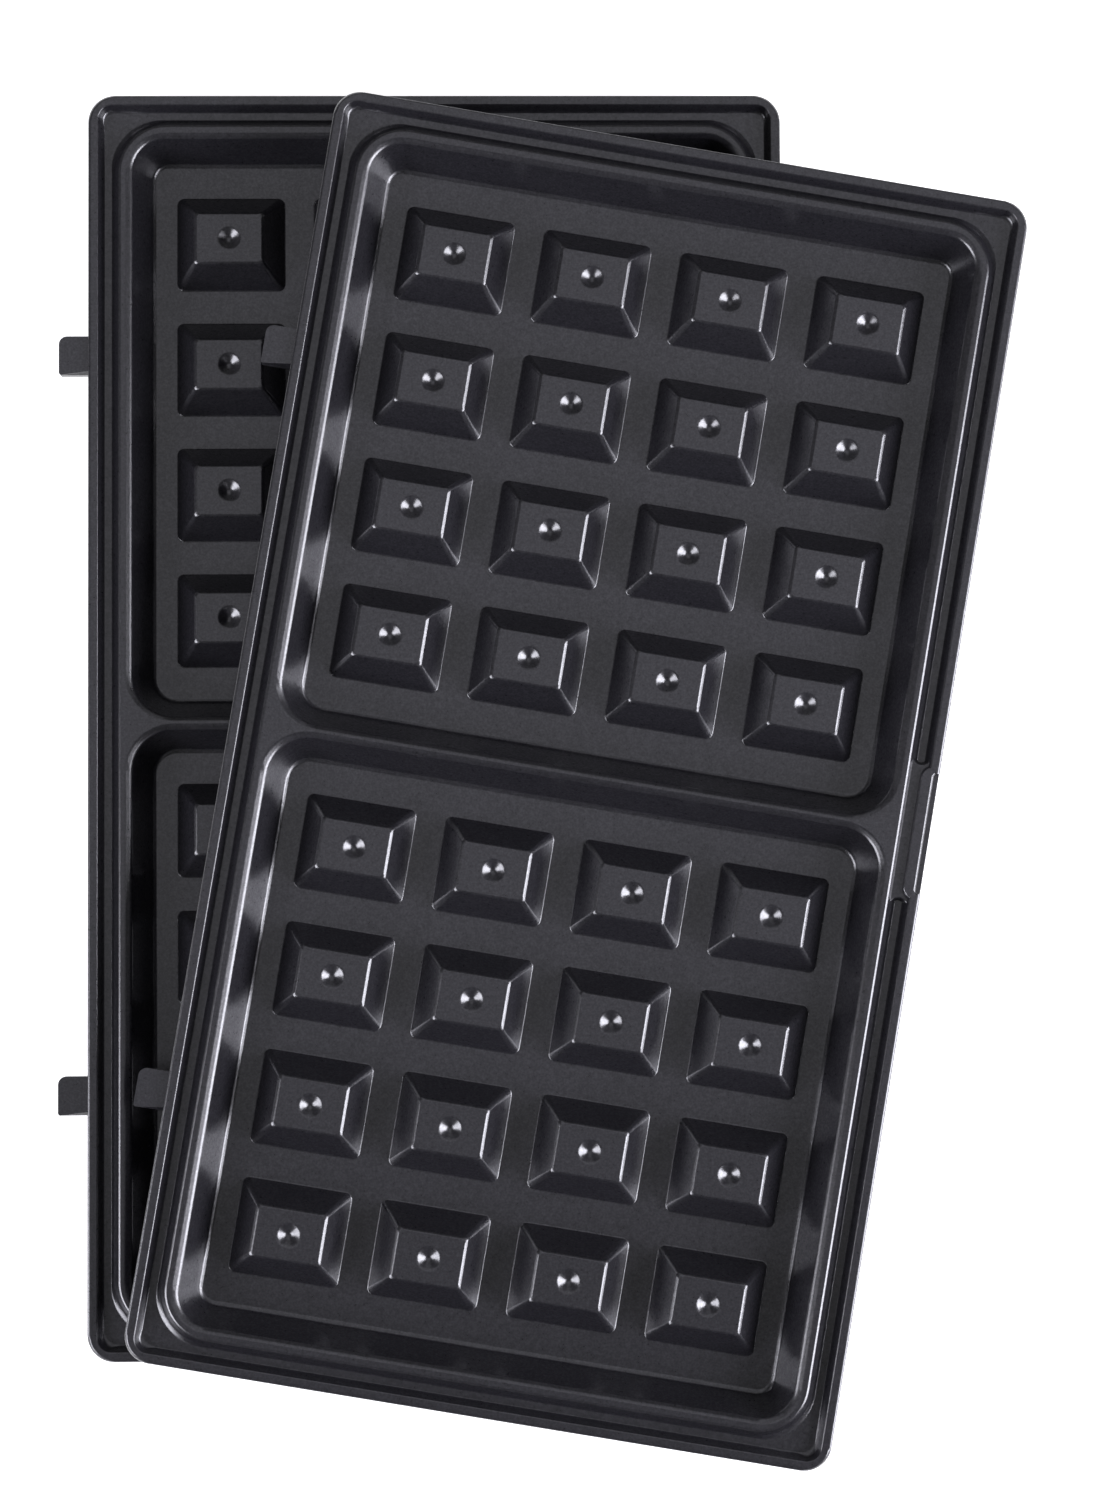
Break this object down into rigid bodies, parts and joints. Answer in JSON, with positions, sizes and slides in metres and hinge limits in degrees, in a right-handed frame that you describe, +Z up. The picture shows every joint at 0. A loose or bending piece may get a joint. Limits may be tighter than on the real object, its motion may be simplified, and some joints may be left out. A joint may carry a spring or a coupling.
{
  "type": "removable waffle plates of a sandwich maker",
  "caption": "Matching removable waffle plates for a hinged sandwich maker, one lying turned on the other, with raised blocks, a gutter, hinge lugs and a catch ledge.",
  "frame": {"origin": "middle of the lower plate's flat underside", "axes": "+Z up through both plates, +Y along the lower plate, -X towards its hinge lugs"},
  "size_m": [0.1793, 0.2541, 0.024],
  "materials": {
    "nonstick_coating": "satin dark non-stick coating"
  },
  "bodies": {
    "lower_plate": {"lower_waffle_plate": "nonstick_coating"},
    "upper_plate": {"upper_waffle_plate": "nonstick_coating"}
  },
  "joints": [
    {"name": "upper_plate_lift", "type": "slide", "parent": "lower_plate", "child": "upper_plate", "axis": [0, 0, 1], "range_m": [0, 0.05]}
  ]
}
